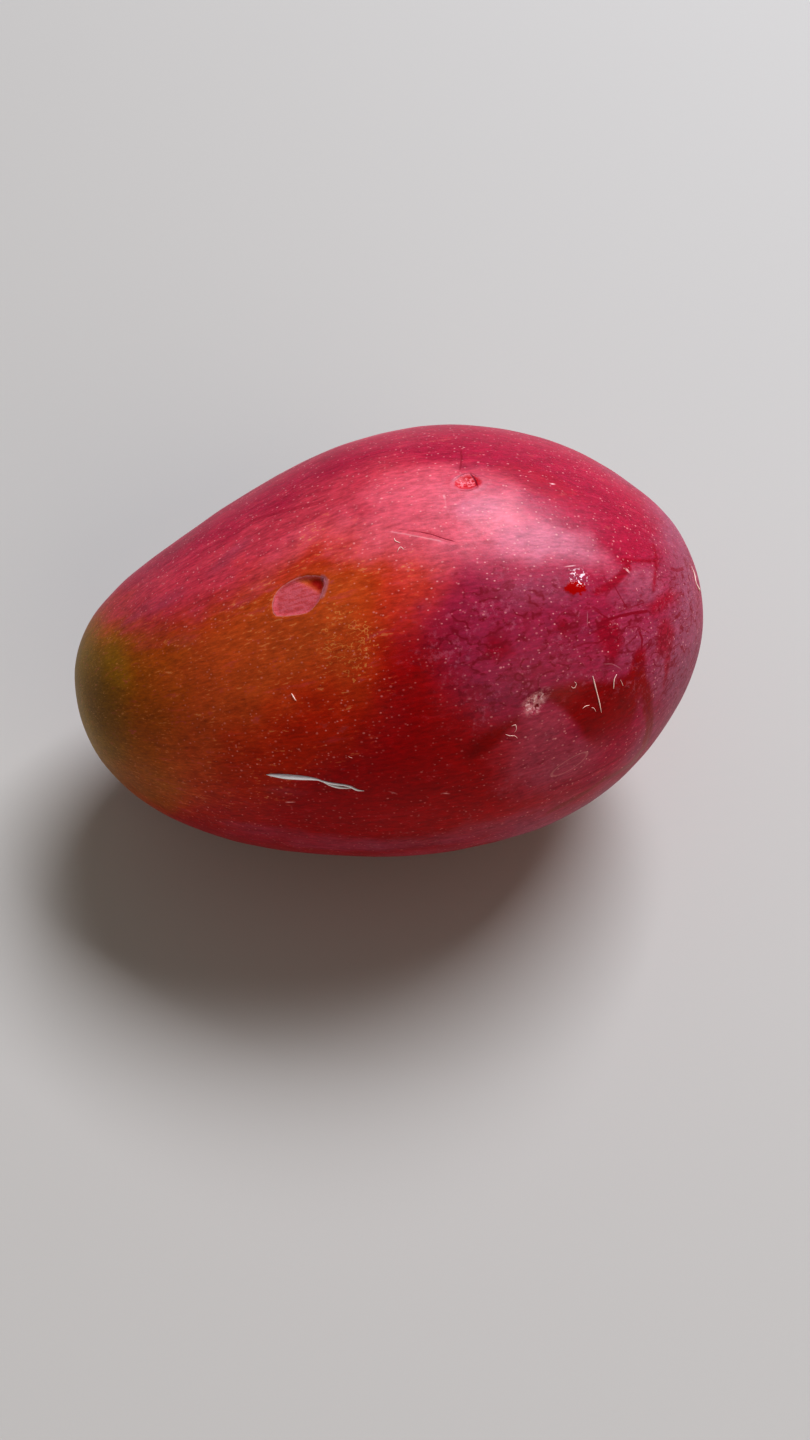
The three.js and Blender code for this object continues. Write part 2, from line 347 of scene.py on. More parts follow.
# colour zones of the skin, bottom to top. An outline runs through places of the photo and then, out of
# sight, through pairs of the two angles in degrees. A patch is a place or a pair of angles with its half
# length and half width in mm, its turn in degrees and its strength. A line has places and a half width.
# edge is how soft and how ragged the zone's border is, in mm, and how much a pattern tears it.
zones = {
    "crimson": {"colour": "#b02043", "edge": (9.0, 3.0, 0.4), "seed": 2,
        "outlines": [
            ([(90, 612), (165, 615), (240, 585), (320, 520), (420, 590), (470, 680), (560, 790), (640, 770)],
             [(150, 200), (178, 260), (178, -50), (120, -40), (60, -30), (15, 0)])]},
    "rust": {"colour": "#c03002", "edge": (8.0, 3.5, 0.5), "seed": 5,
        "outlines": [
            ([(90, 625), (165, 620), (245, 582), (325, 510), (385, 520), (425, 570), (405, 640), (392, 690),
              (375, 740), (335, 775), (285, 800), (240, 806)],
             [(45, 185), (38, 215), (22, 240), (0, 255), (-12, 255), (-12, 45), (0, 45), (14, 66)])]},
    "orange": {"colour": "#c45a24", "edge": (9.0, 2.6, 0.6), "seed": 6,
        "outlines": [
            ([(88, 620), (160, 628), (205, 604), (250, 588), (285, 566), (335, 545), (380, 560), (392, 600),
              (372, 640), (350, 680), (300, 700), (230, 742), (195, 792)],
             [(40, 175), (30, 205), (12, 235), (0, 250), (-12, 250), (-12, 50), (0, 50), (14, 70)])]},
    "ochre": {"colour": "#ad5e00", "edge": (7.0, 2.0, 0.5), "seed": 7,
        "outlines": [
            ([(84, 622), (112, 632), (150, 640), (172, 660), (170, 705), (158, 735), (170, 790)],
             [(38, 180), (26, 205), (18, 250), (14, 300), (-12, 330), (-12, -30), (8, 30), (14, 64)])],
        "patches": [(118, 764, 4, 4, 40, 0.8), (143, 790, 6, 3, 35, 0.7)]},
    "olive": {"colour": "#a87c00", "edge": (6.0, 1.6, 0.5), "seed": 18,
        "outlines": [
            ([(82, 628), (100, 634), (120, 650), (122, 680), (112, 715), (118, 750)],
             [(28, 172), (20, 205), (14, 250), (10, 300), (-12, 330), (-12, -30), (6, 30), (10, 64)])]},
    # painted shade: a dark brown patch on the shaded lower side of the tip
    "tipPaintedShade": {"colour": "#8a5a06", "edge": (0.7, 0.3, 0.3), "seed": 8,
        "patches": [(99, 696, 6, 10, 0, 0.65)],
        "hidden": [(4, 250, 6, 8, 0, 0.5)]},
    "pinkBand": {"colour": "#cf4a58", "edge": (8.0, 3.0, 1.0), "seed": 9, "pattern": "streaks",
        "outlines": [
            ([(110, 616), (150, 622), (185, 606), (240, 588), (278, 566), (318, 534), (372, 540), (425, 552),
              (470, 540), (440, 470), (380, 465), (330, 480), (270, 515), (200, 560), (150, 585)], [])]},
    "redOrange": {"colour": "#d24a38", "edge": (6.0, 2.6, 0.9), "seed": 31,
        "outlines": [
            ([(250, 572), (290, 552), (322, 530), (372, 528), (430, 548), (446, 572), (425, 612), (400, 640),
              (392, 600), (372, 568), (330, 556), (285, 574)], [])]},
    "purpleStreaks": {"colour": "#b44858", "edge": (0.9, 0.3, 0.8), "seed": 32, "pattern": "streaks",
        "patches": [(227, 556, 5, 1.6, -22, 0.7), (167, 601, 4, 1.5, -12, 0.7), (180, 640, 3, 1.4, 0, 0.25),
            (250, 596, 4, 1.2, -20, 0.25), (138, 612, 5, 1.2, -10, 0.5)]},
    # partly pale rose skin and partly a painted highlight where the shine falls on the top
    "roseAndHighlight": {"colour": "#e36c78", "edge": (0.7, 0.3, 0.6), "seed": 11,
        "patches": [(412, 530, 12, 7, 0, 0.6), (450, 500, 12, 7, 0, 0.6), (490, 540, 10, 6, 0, 0.5),
            (420, 480, 9, 4, 0, 0.4), (300, 540, 8, 3, -24, 0.4)],
        "hidden": [(90, 30, 26, 12, 0, 0.4)]},
    "magenta": {"colour": "#a82e4f", "edge": (9.0, 2.5, 1.2), "seed": 13,
        "outlines": [
            ([(438, 600), (462, 568), (560, 576), (640, 592), (690, 545), (704, 610), (698, 680), (650, 700),
              (600, 684), (556, 690), (520, 712), (478, 738), (446, 695), (426, 645)], [])],
        "patches": [(455, 840, 26, 5, 0, 0.5), (545, 770, 9, 6, -20, 0.5)],
        "hidden": [(125, 330, 24, 14, 0, 0.6), (140, 230, 16, 12, 0, 0.6)]},
    "scarlet": {"colour": "#ac0004", "edge": (7.0, 2.2, 0.8), "seed": 14,
        "outlines": [
            ([(412, 640), (440, 665), (470, 720), (500, 760), (520, 800), (470, 835), (400, 850), (300, 838),
              (262, 812), (300, 785), (350, 760), (385, 715), (396, 670)], [])],
        "patches": [(530, 478, 10, 4, 20, 0.3)],
        "hidden": [(95, 250, 26, 14, 0, 0.6)]},
    "bloom": {"colour": "#a26072", "edge": (7.0, 2.6, 0.8), "seed": 15, "strength": 0.75, "rough": 0.52,
        "outlines": [
            ([(662, 490), (668, 550), (672, 600), (674, 660), (658, 690), (660, 735), (645, 762), (606, 786),
              (566, 812), (500, 836)],
             [(100, 208), (134, 212), (168, 240), (168, 40), (140, 60)])],
        "patches": [(565, 765, 6, 3.5, -20, 0.5), (640, 590, 7, 3.5, 0, 0.6), (660, 655, 5, 7, 0, 0.5),
            (625, 645, 6, 4, 0, 0.4), (545, 590, 9, 3, 0, 0.4), (645, 740, 3.5, 7, 20, 0.6),
            (470, 834, 22, 3.5, -5, 0.4)],
        "hidden": [(125, 330, 20, 12, 0, 0.5), (60, 300, 14, 10, 0, 0.35)]},
    # bloom along the lower rim, partly a painted reflection of the floor along that edge
    "rimBloomAndReflection": {"colour": "#b04a5e", "edge": (0.7, 0.3, 0.9), "seed": 33, "pattern": "streaks",
        "strength": 0.8, "rough": 0.5,
        "patches": [(300, 838, 16, 2.4, 8, 0.6), (360, 848, 22, 2.6, 0, 0.65), (450, 850, 22, 3.0, -6, 0.6),
            (285, 792, 5, 1.6, 8, 0.4)]},
    # pale bloom, partly a painted highlight: its patches sit where the lamp's broad shine falls
    "paleBloomAndHighlight": {"colour": "#ce7686", "edge": (0.6, 0.3, 0.6), "seed": 19, "strength": 0.85, "rough": 0.48,
        "patches": [(474, 507, 4, 2.2, 0, 0.6), (545, 546, 8, 4.2, 8, 0.8), (580, 552, 7, 3.6, 10, 0.8),
            (640, 580, 7, 3.5, 20, 0.3)]},
    "matt": {"colour": "#ba5564", "edge": (5.0, 1.4, 0.9), "seed": 16, "strength": 0.7, "rough": 0.6,
        "outlines": [
            ([(525, 716), (560, 716), (570, 740), (600, 745), (590, 770), (545, 790), (505, 790), (497, 760),
              (512, 740)], [])]},
    "worn": {"colour": "#a4002a", "edge": (1.2, 1.1, 0.4), "seed": 20, "strength": 0.88, "rough": 0.36,
        "outlines": [
            ([(640, 607), (655, 598), (676, 588), (682, 594), (672, 603), (660, 613), (654, 618),
              (648, 609)], []),
            ([(662, 622), (668, 622), (671, 634), (668, 648), (661, 648), (659, 634)], []),
            ([(604, 620), (614, 622), (620, 640), (614, 654), (605, 642), (600, 632)], []),
            ([(556, 616), (566, 618), (572, 628), (566, 638), (556, 630)], []),
            ([(490, 635), (505, 640), (512, 652), (500, 660), (484, 655)], [])],
        "lines": [([(622, 560), (640, 559.5), (660, 561)], 0.3), ([(596, 592), (612, 584), (630, 566)], 0.7),
            ([(655, 545), (658, 562), (655, 590)], 0.5), ([(668, 660), (664, 690), (656, 715)], 0.6),
            ([(641, 654), (637, 668), (632, 690)], 1.3)],
        "hidden": [(130, 40, 7, 3, 20, 0.7), (70, 10, 6, 2, 30, 0.6)]},
    "rubbed": {"colour": "#960001", "edge": (1.0, 0.8, 0.15), "seed": 17, "rough": 0.29,
        "outlines": [
            ([(545, 697), (552, 690), (560, 687), (574, 681), (592, 678), (610, 680), (630, 672), (644, 668),
              (642, 690), (634, 722), (628, 752), (606, 754), (588, 742), (572, 722), (556, 706)],
             [], ((590, 724), (592, 766))),
            ([(519, 716), (506, 724), (488, 731), (470, 742), (462, 754), (470, 762), (486, 756), (500, 744),
              (512, 730), (522, 722)], []),
            ([(634, 652), (644, 654), (646, 668), (640, 690), (628, 690), (630, 670)], [])],
        "lines": [([(640, 672), (648, 700), (651, 725), (646, 746), (632, 764)], 1.3),
            ([(632, 764), (604, 780), (575, 800), (552, 812)], 0.7)],
        "hidden": [(100, 320, 9, 2.5, -15, 0.6)]},
}


# an angle pair as a flat place in millimetres: each angle times the drum's arc
def flatPlace(along, around):
    return along * drum["along"] / millimetre, around * drum["round"] / millimetre


# distance in millimetres to an outline of seen places and hidden angles, also taken once round the fruit
def zoneDistance(seen, beyond):
    corners = [spotAt(*place) for place in seen]
    corners += [(math.radians(along), math.radians(around)) for along, around in beyond]
    x, y = flatPlace(alongAngles, aroundAngles)
    flat = [flatPlace(*corner) for corner in corners]
    turn = flatPlace(0.0, 2 * math.pi)[1]
    turns = [outlineDistance(x, y + shift, flat) for shift in (0.0, turn, -turn)]
    return np.minimum.reduce(turns)


# 1 up to the first place of the photo, falling to 0 at the second
def fadeBetween(start, end):
    spot = spotAt(*start)
    ahead, across = unrolled(spot, alongAngles, aroundAngles)
    x, y = unrolledPoints(spot, [end])[0]
    return smoothStep(1.0, 0.0, (ahead * x + across * y) / (x * x + y * y))


# a zone's strength: 1 - product of (1 - part), each part a soft step over a distance made ragged by waves
def zoneField(zone):
    soft, raggedness, _ = zone["edge"]
    spread = np.clip(drum["round"] / girthGrid, 1.0, 2.5)      # the flat map stretches the thin ends
    ragged = raggedness * (waves(smoothBody, 14 * millimetre, zone["seed"])
                           + 0.5 * waves(smoothBody, 4.5 * millimetre, zone["seed"] + 100))
    clear = np.ones(smoothBody.shape[:2])
    for seen, beyond, *fade in zone.get("outlines", []):
        part = smoothStep(soft, -soft, zoneDistance(seen, beyond) / spread + 0.5 * ragged)
        clear *= 1 - part * (fadeBetween(*fade[0]) if fade else 1)
    for places, halfWidth in zone.get("lines", []):
        distance = distanceToPlaces(lineDistance, places) + 0.3 * ragged
        clear *= 1 - smoothStep(halfWidth + 0.4, halfWidth - 0.4, distance)
    spots = [(spotAt(x, y), rest) for x, y, *rest in zone.get("patches", [])]
    spots += [((math.radians(a), math.radians(r)), rest) for a, r, *rest in zone.get("hidden", [])]
    blur = min(soft, 0.7)
    for spot, (length, width, turn, strength) in spots:
        reach = patchReach(spot, length, width, turn) + 0.2 * ragged / raggedness
        clear *= 1 - strength * smoothStep(1 + blur, 1 - blur, reach)
    return 1 - clear


for name, zone in zones.items():
    fields[name] = zoneField(zone)
print("colour zones laid")


# strokes in the skin's colour, and painted shade and highlight along the creases: places of the photo, half
# width in mm and strength
strokes = {
    "dark": [
        ([(597, 611), (603, 615), (609, 619)], 0.16, 0.8),
        ([(600, 624), (608, 620), (620, 616), (633, 613), (648, 611)], 0.3, 1.0),
        ([(615, 586), (620, 595), (627, 607)], 0.12, 0.8), ([(585, 609), (594, 607), (600, 611)], 0.2, 0.6),
        ([(588, 635), (596, 631), (604, 628)], 0.2, 0.6), ([(576, 647), (586, 643), (598, 643)], 0.2, 0.6),
        ([(620, 612), (632, 607), (644, 603)], 0.14, 0.6), ([(558, 618), (562, 613), (566, 611)], 0.14, 0.6),
        ([(556, 622), (561, 628), (565, 636)], 0.18, 0.6), ([(640, 632), (643, 639), (642, 648)], 0.24, 0.9),
        ([(628, 628), (638, 626), (650, 633)], 0.12, 0.6), ([(605, 578), (611, 588), (606, 596)], 0.3, 0.6),
        ([(672, 568), (678, 570), (684, 568)], 0.35, 0.7), ([(672, 622), (680, 616)], 0.12, 0.5),
        # painted shade along the crease, and in the crease over the scab
        ([(420, 531), (432, 533.5), (442, 537), (452, 540)], 0.1, 0.8),
        ([(400, 528), (410, 529.5), (420, 531)], 0.1, 0.3),
        ([(461, 451), (461.5, 460), (460, 468)], 0.2, 0.6),
        ([(471, 474), (475.5, 478), (477.5, 485)], 0.16, 1.0),
        ([(456, 478), (462, 474), (470, 472), (476, 475)], 0.12, 0.7),
        ([(460, 489.5), (467, 490.5), (474, 488.5)], 0.12, 0.5),
        ([(250, 520), (285, 509), (325, 500)], 0.5, 0.35), ([(507, 740), (512, 741)], 0.2, 0.8),
        ([(643, 700), (652, 722), (648, 745)], 0.3, 0.5),
        ([(550, 790), (575, 782), (600, 770), (622, 756)], 0.35, 0.5)],
    "pale": [
        # painted highlight on the crease's lower lip
        ([(392, 531), (405, 533), (420, 536), (440, 540)], 0.16, 0.28),
        ([(444, 495), (444.3, 496)], 0.22, 0.5), ([(445, 498), (446, 506)], 0.1, 0.12),
        ([(552, 482.5), (554, 482.7)], 0.22, 1.0), ([(588, 614), (588, 623)], 0.1, 0.2),
        ([(391, 792.5), (394, 793.5)], 0.16, 0.3), ([(444, 794), (447, 794.3)], 0.16, 0.6),
        ([(288.5, 803), (291, 803)], 0.16, 0.8), ([(568, 566), (574, 565.3)], 0.12, 0.7),
        ([(628, 569.5), (629, 570.5)], 0.25, 0.8), ([(606, 664), (613, 664), (620, 668)], 0.1, 0.2)],
}


# one layer of strokes: the place across the nearest stroke in half widths, signed, and the stroke's
# strength, which fades past its ends and sides
def strokeLayer(group):
    nearest = np.full(smoothBody.shape[:2], 1e9)
    side = np.full(nearest.shape, 9.0)
    strength = np.zeros(nearest.shape)
    for places, halfWidth, amount in group:
        spot = spotAt(*places[len(places) // 2])
        ahead, across = unrolled(spot, alongAngles, aroundAngles)
        points = np.array(unrolledPoints(spot, places)) / millimetre
        for index, (start, end) in enumerate(zip(points[:-1], points[1:])):
            length = np.linalg.norm(end - start)
            dx, dy = (end - start) / length
            x, y = ahead / millimetre - start[0], across / millimetre - start[1]
            along, beside = x * dx + y * dy, y * dx - x * dy
            past = np.maximum(np.maximum(-along, along - length), 0)
            distance = np.hypot(past, beside)
            closer = distance < nearest
            nearest = np.where(closer, distance, nearest)
            side = np.where(closer, beside / halfWidth, side)
            fade = smoothStep(0.7 + halfWidth, 0.3 + halfWidth, distance)
            isEnd = ((index == 0) & (along < 0)) | ((index == len(points) - 2) & (along > length))
            fade = fade * np.where(isEnd, smoothStep(0.5, 0.0, past), 1.0)
            strength = np.where(closer, amount * fade, strength)
    return np.clip(side, -9, 9), strength


for name, group in strokes.items():
    for layer in range(2):
        side, strength = strokeLayer(group[layer::2])
        fields[f"{name}Side{layer}"] = side
        fields[f"{name}Near{layer}"] = strength
print("strokes drawn")


# a slight unevenness that breaks the shine, in millimetres; sunk keeps its highest places inside the body
uneven = {"broad": 0.10, "fine": 0.03, "sunk": 0.19}


# the skin: the smooth body, less the depth of its marks, plus two sums of waves
def skinPoints():
    depth = sum(field for name, field in fields.items() if name.endswith("Depth"))
    broad, fine = waves(smoothBody, 22 * millimetre, 23), waves(smoothBody, 7 * millimetre, 29)
    rise = uneven["broad"] * broad + uneven["fine"] * fine
    lift = (rise - uneven["sunk"] - depth) * millimetre
    return layDown(smoothBody + bodyNormal(alongAngles, aroundAngles) * lift[..., None]) + placeShift


skin = skinPoints()
skinNormals = gridNormals(skin)

# the fruit straightened, for patterns that run lengthwise: arc along, and a bend round the drum, which
# narrows at the ends as tanh(girth / narrow)
drumRadius = drum["round"] * np.tanh(girthGrid / drum["narrow"])
straightSkin = np.stack(np.broadcast_arrays(
    drum["along"] * alongAngles,
    drumRadius * np.cos(aroundAngles),
    drumRadius * np.sin(aroundAngles),
), axis=-1)


# one end of the skin: its depth is that of the ring next to it
def endPoint(along, ring):
    depth = (fields["endDepth"][ring].mean() + uneven["sunk"]) * millimetre
    point = bodyPoint(along, 0.0) - bodyNormal(along, 0.0) * depth
    return layDown(point) + placeShift


# one smooth piece on the fruit's body, with a number for each point under each name
def addPiece(name, points, faces, values):
    mesh = bpy.data.meshes.new(name)
    mesh.from_pydata(points, [], faces)
    mesh.polygons.foreach_set("use_smooth", np.ones(len(mesh.polygons), dtype=bool))
    for key, numbers in values.items():
        mesh.attributes.new(key, "FLOAT", "POINT").data.foreach_set("value", numbers.astype(np.float32))
    piece = bpy.data.objects.new(name, mesh)
    bpy.context.collection.objects.link(piece)
    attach(piece, "root")
    return piece


# rings of points joined by quads, with one point and a fan of triangles at each end; the map counts rings
# upwards and spokes across, and ends at 1 where it meets itself
def makeSkin():
    rings, spokes = skin.shape[:2]
    points = np.concatenate([
        endPoint(0.0, 0)[None], skin.reshape(-1, 3), endPoint(math.pi, -1)[None]])
    ring, spoke = np.meshgrid(np.arange(rings - 1), np.arange(spokes), indexing="ij")
    near, far = 1 + ring * spokes, 1 + (ring + 1) * spokes
    following = (spoke + 1) % spokes
    quads = np.stack([near + following, far + following, far + spoke, near + spoke], axis=-1).reshape(-1, 4)
    quadMap = np.stack([spoke + 1, ring + 1, spoke + 1, ring + 2, spoke, ring + 2, spoke, ring + 1], axis=-1)
    spoke = np.arange(spokes)
    following = (spoke + 1) % spokes
    lastRing = 1 + (rings - 1) * spokes
    tipFan = np.stack([1 + following, 1 + spoke, 0 * spoke], axis=-1)
    tipMap = np.stack([spoke + 1, 1 + 0 * spoke, spoke, 1 + 0 * spoke, spoke + 0.5, 0 * spoke], axis=-1)
    stemFan = np.stack([lastRing + spoke, lastRing + following, 0 * spoke + len(points) - 1], axis=-1)
    stemMap = np.stack([spoke, rings + 0 * spoke, spoke + 1, rings + 0 * spoke, spoke + 0.5,
                        rings + 1 + 0 * spoke], axis=-1)
    values = {name: np.concatenate([[field[0].mean()], field.ravel(), [field[-1].mean()]])
              for name, field in fields.items() if not name.endswith("Depth")}
    piece = addPiece("mangoSkin", points, quads.tolist() + tipFan.tolist() + stemFan.tolist(), values)
    corners = np.concatenate([part.reshape(-1, 2) for part in (quadMap, tipMap, stemMap)])
    piece.data.uv_layers.new(name="OFBake").data.foreach_set("uv", (corners / (spokes, rings + 1)).ravel())
    ends = [(0, 0, 0)], [(drum["along"] * math.pi, 0, 0)]
    straight = np.concatenate([ends[0], straightSkin.reshape(-1, 3), ends[1]])
    straightValues = piece.data.attributes.new("straight", "FLOAT_VECTOR", "POINT").data
    straightValues.foreach_set("vector", straight.ravel())
    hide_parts("mango")
    return piece


mangoSkin = makeSkin()
print("skin made:", len(mangoSkin.data.polygons), "faces")


# a material of that name, and its emptied tree
def newMaterial(name):
    material = bpy.data.materials.new(name)
    material.use_nodes = True
    material.node_tree.nodes.clear()
    return material, material.node_tree


# one node with its settings and links: an input takes a value, a colour as hex or a socket to link from
def addNode(tree, kind, inputs=None, output=0, **settings):
    node = tree.nodes.new("ShaderNode" + kind)
    for name, value in settings.items():
        setattr(node, name, value)
    for key, value in (inputs or {}).items():
        if isinstance(value, bpy.types.NodeSocket):
            tree.links.new(value, node.inputs[key])
        else:
            node.inputs[key].default_value = linearColour(value) if isinstance(value, str) else value
    return node.outputs[output] if node.outputs else node


# a place of the photo on the finished skin: four grid points weighted by the shares of the way to each
def onSkin(along, around):
    ring = float(np.interp(along, alongAngles[:, 0], np.arange(skin.shape[0])))
    turned = (around + 0.5 * math.pi) % (2 * math.pi) - 0.5 * math.pi
    spoke = float(np.interp(turned, np.append(aroundAngles[0], 1.5 * math.pi), np.arange(skin.shape[1] + 1)))
    r0, s0 = min(int(ring), skin.shape[0] - 2), int(spoke)
    r, s = ring - r0, spoke - s0
    point, normal = 0, 0
    for i, j, share in ((r0, s0, (1 - r) * (1 - s)), (r0 + 1, s0, r * (1 - s)),
                        (r0, s0 + 1, (1 - r) * s), (r0 + 1, s0 + 1, r * s)):
        j %= skin.shape[1]
        point = point + share * skin[i, j]
        normal = normal + share * skinNormals[i, j]
    return point, normal / np.linalg.norm(normal)


# patterns of the skin: width and length of their features in mm, octaves and roughness of the noise
skinPatterns = {
    "fine": {"size": (1.1, 1.1), "detail": 4, "rough": 0.7},
    "dust": {"size": (0.45, 0.6), "detail": 1, "rough": 0.5},
    "speckle": {"size": (0.5, 1.6), "detail": 2, "rough": 0.6},
    "grain": {"size": (2.2, 4.4), "detail": 5, "rough": 0.75},
    "streaks": {"size": (1.8, 12.0), "detail": 4, "rough": 0.7},
    "blotch": {"size": (4.5, 6.0), "detail": 4, "rough": 0.7},
    "broad": {"size": (11.0, 14.0), "detail": 3, "rough": 0.6},
    "hair": {"size": (2.4, 3.2), "detail": 1, "rough": 0.5},
    "squiggle": {"size": (0.55, 0.7), "detail": 0, "rough": 0.5},
}

skinFinish = {
    "base": "#b41c2a",
    "mottling": {"streaks": 0.45, "broad": 0.35, "speckle": 0.9, "grain": 0.6},
    "lenticel": {"colour": "#ffb8b0", "proud": 0.7},
    "lenticels": ((1.35, 0.19, 0.55), (0.78, 0.25, 0.62)),      # spacing in mm, reach, strength
    "hushed": {"rubbed": 0.15, "orange": 0.5, "ochre": 0.3, "scarlet": 0.5},    # share left in a zone
    "roughness": 0.4,
    "ior": 1.35,
    "subsurface": 0.04,
    "subsurfaceRadius": (0.9, 0.25, 0.1),
    "subsurfaceScale": 0.003,
    "reliefDepth": 0.00004,
}

# layers over the zones, bottom to top. A mask steps from 0 to its strength between two edges of a
# field, which a pattern may sway. about takes the field's distance to a value. grits are patterns with
# the two edges of a step that break the mask, within is an earlier mask that holds it, and fade is a
# field that weakens it. coarse multiplies the fine relief and proud raises the skin.
skinLayers = {
    "darkBlotches": {"field": "magenta", "edges": (0.15, 0.95), "strength": 0.48,
        "grits": [("grain", 0.47, 0.6)], "colour": "#8c0424"},
    "haze": {"field": "magenta", "edges": (0.1, 0.8), "strength": 0.35,
        "grits": [("fine", 0.5, 0.62), ("blotch", 0.54, 0.42)], "colour": "#cc7888"},
    "hairlines": {"field": "magenta", "sway": ("hair", 3.0), "about": 0.9, "edges": (0.2, 0.04),
        "within": "magenta", "strength": 0.75, "grits": [("grain", 0.45, 0.53)], "colour": "#8a0826"},
    "bloomHairlines": {"field": "bloom", "sway": ("hair", 3.0), "about": 0.5, "edges": (0.16, 0.02),
        "within": "bloom", "strength": 0.55, "grits": [("grain", 0.52, 0.44)], "colour": "#941c38"},
    "russet": {"field": "russet", "sway": ("squiggle", 3.0), "about": 0.4, "edges": (0.3, 0.04),
        "strength": 0.7, "grits": [("grain", 0.42, 0.54)], "colour": "#e09858"},
    "russetDust": {"field": "rust", "edges": (0.3, 0.9), "strength": 0.5,
        "grits": [("speckle", 0.6, 0.68), ("blotch", 0.46, 0.56)], "colour": "#dc9a64"},
    "nickFloor": {"field": "nickEdge", "edges": (0.12, -0.12), "colour": "#d86a70", "rough": 0.6,
        "coarse": 3.0},
    "nickRed": {"field": "nickEdge", "edges": (0.0, -0.2), "strength": 0.45, "within": "nickFloor",
        "grits": [("speckle", 0.55, 0.42)], "colour": "#c43c34"},
    "nickPocket": {"field": "nickPocket", "sway": ("fine", 0.4), "edges": (0.0, 0.9), "within": "nickFloor",
        "colour": "#d86c2c"},
    # painted shade: darker red in the deepest corner of the nick's pocket
    "nickDeepPaintedShade": {"field": "nickDeepPaintedShade", "edges": (2.4, 0.2), "within": "nickPocket", "colour": "#a81408"},
    "nickRim": {"field": "nickEdge", "about": 0.06, "edges": (0.11, 0.02), "strength": 0.6,
        "grits": [("fine", 0.34, 0.5)], "colour": "#e09898"},
    "nickLilac": {"field": "nickLilac", "edges": (0.7, 0.2), "strength": 0.6, "colour": "#c4808c"},
    "scab": {"field": "scab", "sway": ("fine", 1.4), "edges": (1.2, 0.9), "strength": 0.9,
        "colour": "#d0202e"},
    "scabMiddle": {"field": "scab", "sway": ("fine", 1.4), "edges": (0.9, 0.5), "coarse": 3.0,
        "grits": [("dust", 0.42, 0.6)], "colour": "#f48086"},
    "dropRing": {"field": "ring", "about": 1.0, "edges": (0.12, 0.03), "strength": 0.24,
        "colour": "#f0b4a8"},
    "scuff": {"field": "scuff", "sway": ("grain", 1.8), "edges": (1.15, 0.45), "strength": 0.9,
        "grits": [("fine", 0.34, 0.54)], "colour": "#e09a98", "rough": 0.65, "coarse": 3.0},
    "scuffFlakes": {"field": "scuff", "sway": ("grain", 1.8), "edges": (1.0, 0.5), "strength": 0.6,
        "grits": [("dust", 0.55, 0.66)], "colour": "#ffdcd4"},
    "scuffPit": {"field": "scuffPit", "sway": ("fine", 1.0), "edges": (1.0, 0.6), "colour": "#8c1020"},
    "wet": {"field": "wet", "sway": ("fine", 2.0), "edges": (1.1, 0.75), "colour": "#b00000", "rough": 0.12},
    "glints": {"field": "glints", "edges": (1.2, 0.6), "grits": [("dust", 0.57, 0.63)], "colour": "#ffe0e0"},
    # painted shade: dark brown in the stem hollow
    "stemPaintedShade": {"field": "stemRadius", "sway": ("grain", 2.5), "edges": (5.5, 3.0), "strength": 0.5,
        "colour": "#4e3826"},
    "cork": {"field": "stemRadius", "sway": ("grain", 2.0), "edges": (3.5, 2.9), "colour": "#8a6a48",
        "rough": 0.85, "coarse": 5.0},
    "corkCracks": {"field": "stemRadius", "edges": (3.6, 3.0), "within": "cork",
        "grits": [("fine", 0.55, 0.42)], "colour": "#4e3826"},
    "tipSpot": {"field": "tipRadius", "sway": ("fine", 1.5), "edges": (1.9, 0.7), "colour": "#4e3826"},
}
for layer in range(2):
    skinLayers[f"dark{layer}"] = {"field": f"darkSide{layer}", "sway": ("fine", 1.5), "about": 0.0,
                                  "edges": (1.3, 0.6), "fade": f"darkNear{layer}", "colour": "#94062a",
                                  "proud": -0.4}
    skinLayers[f"pale{layer}"] = {"field": f"paleSide{layer}", "sway": ("fine", 1.5), "about": 0.0,
                                  "edges": (1.3, 0.6), "fade": f"paleNear{layer}", "colour": "#f4c0bc"}


# a layer's mask: step(field + sway * (pattern - 0.5)) * strength * grits * within * fade
def addMask(tree, patterns, masks, layer):
    pattern, sway = layer.get("sway", ("fine", 0.0))
    far, near = (edge + 0.5 * sway for edge in layer["edges"])
    value = addNode(tree, "Attribute", output="Fac", attribute_name=layer["field"])
    if sway:
        value = addNode(tree, "Math", {0: patterns[pattern], 1: sway, 2: value}, operation="MULTIPLY_ADD")
    if "about" in layer:
        far, near = layer["edges"]
        value = addNode(tree, "Math", {0: value, 1: layer["about"] + 0.5 * sway}, operation="SUBTRACT")
        value = addNode(tree, "Math", {0: value}, operation="ABSOLUTE")
    mask = addNode(tree, "MapRange", {
        "Value": value, "From Min": far, "From Max": near, "To Max": layer.get("strength", 1.0)},
        interpolation_type=layer.get("ease", "SMOOTHSTEP"))
    factors = [
        addNode(tree, "MapRange", {"Value": patterns[grit], "From Min": low, "From Max": high},
                interpolation_type="SMOOTHSTEP") for grit, low, high in layer.get("grits", [])]
    if "within" in layer:
        factors.append(masks[layer["within"]])
    if "fade" in layer:
        factors.append(addNode(tree, "Attribute", output="Fac", attribute_name=layer["fade"]))
    for factor in factors:
        mask = addNode(tree, "Math", {0: mask, 1: factor}, operation="MULTIPLY")
    return mask


# lays a layer over the look so far: colour and roughness mixed by the mask, and mask * amount added to
# coarse and proud
def layOver(tree, look, mask, layer):
    look["colour"] = addNode(tree, "Mix", {0: mask, 6: look["colour"], 7: layer["colour"]}, output=2,
                             data_type="RGBA")
    if "rough" in layer:
        look["rough"] = addNode(tree, "Mix", {0: mask, 2: look["rough"], 3: layer["rough"]})
    for key in ("coarse", "proud"):
        if key in layer:
            look[key] = addNode(tree, "Math", {0: mask, 1: layer[key], 2: look[key]},
                                operation="MULTIPLY_ADD")


